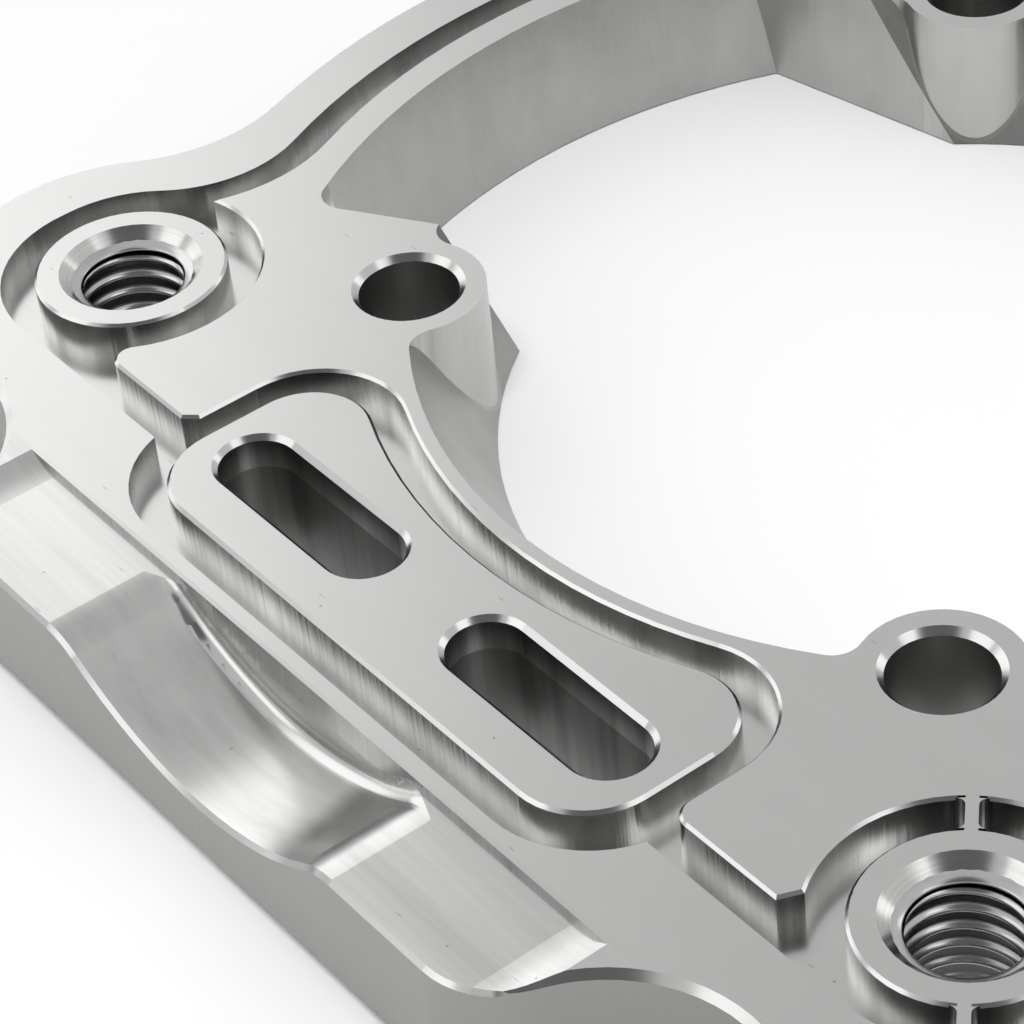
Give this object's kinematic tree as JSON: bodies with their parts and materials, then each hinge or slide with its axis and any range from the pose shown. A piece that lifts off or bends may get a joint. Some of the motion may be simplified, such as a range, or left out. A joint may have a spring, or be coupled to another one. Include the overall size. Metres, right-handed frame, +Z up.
{
  "type": "cylinder base adapter",
  "caption": "Milled aluminium plate that seats an engine cylinder on a crankcase, with a bore, stud holes, threaded bosses and slots.",
  "frame": {"origin": "centre of the stud pattern and of the bore, at the underside", "axes": "+Z up along the bore towards the gasket face, +X along the two slots, -Y towards the straight rail with the scoop"},
  "size_m": [0.1734, 0.1848, 0.0156],
  "materials": {
    "milled_aluminium": "bright milled, with fine cutter marks"
  },
  "bodies": {
    "root": {"adapter_plate": "milled_aluminium"}
  },
  "joints": []
}
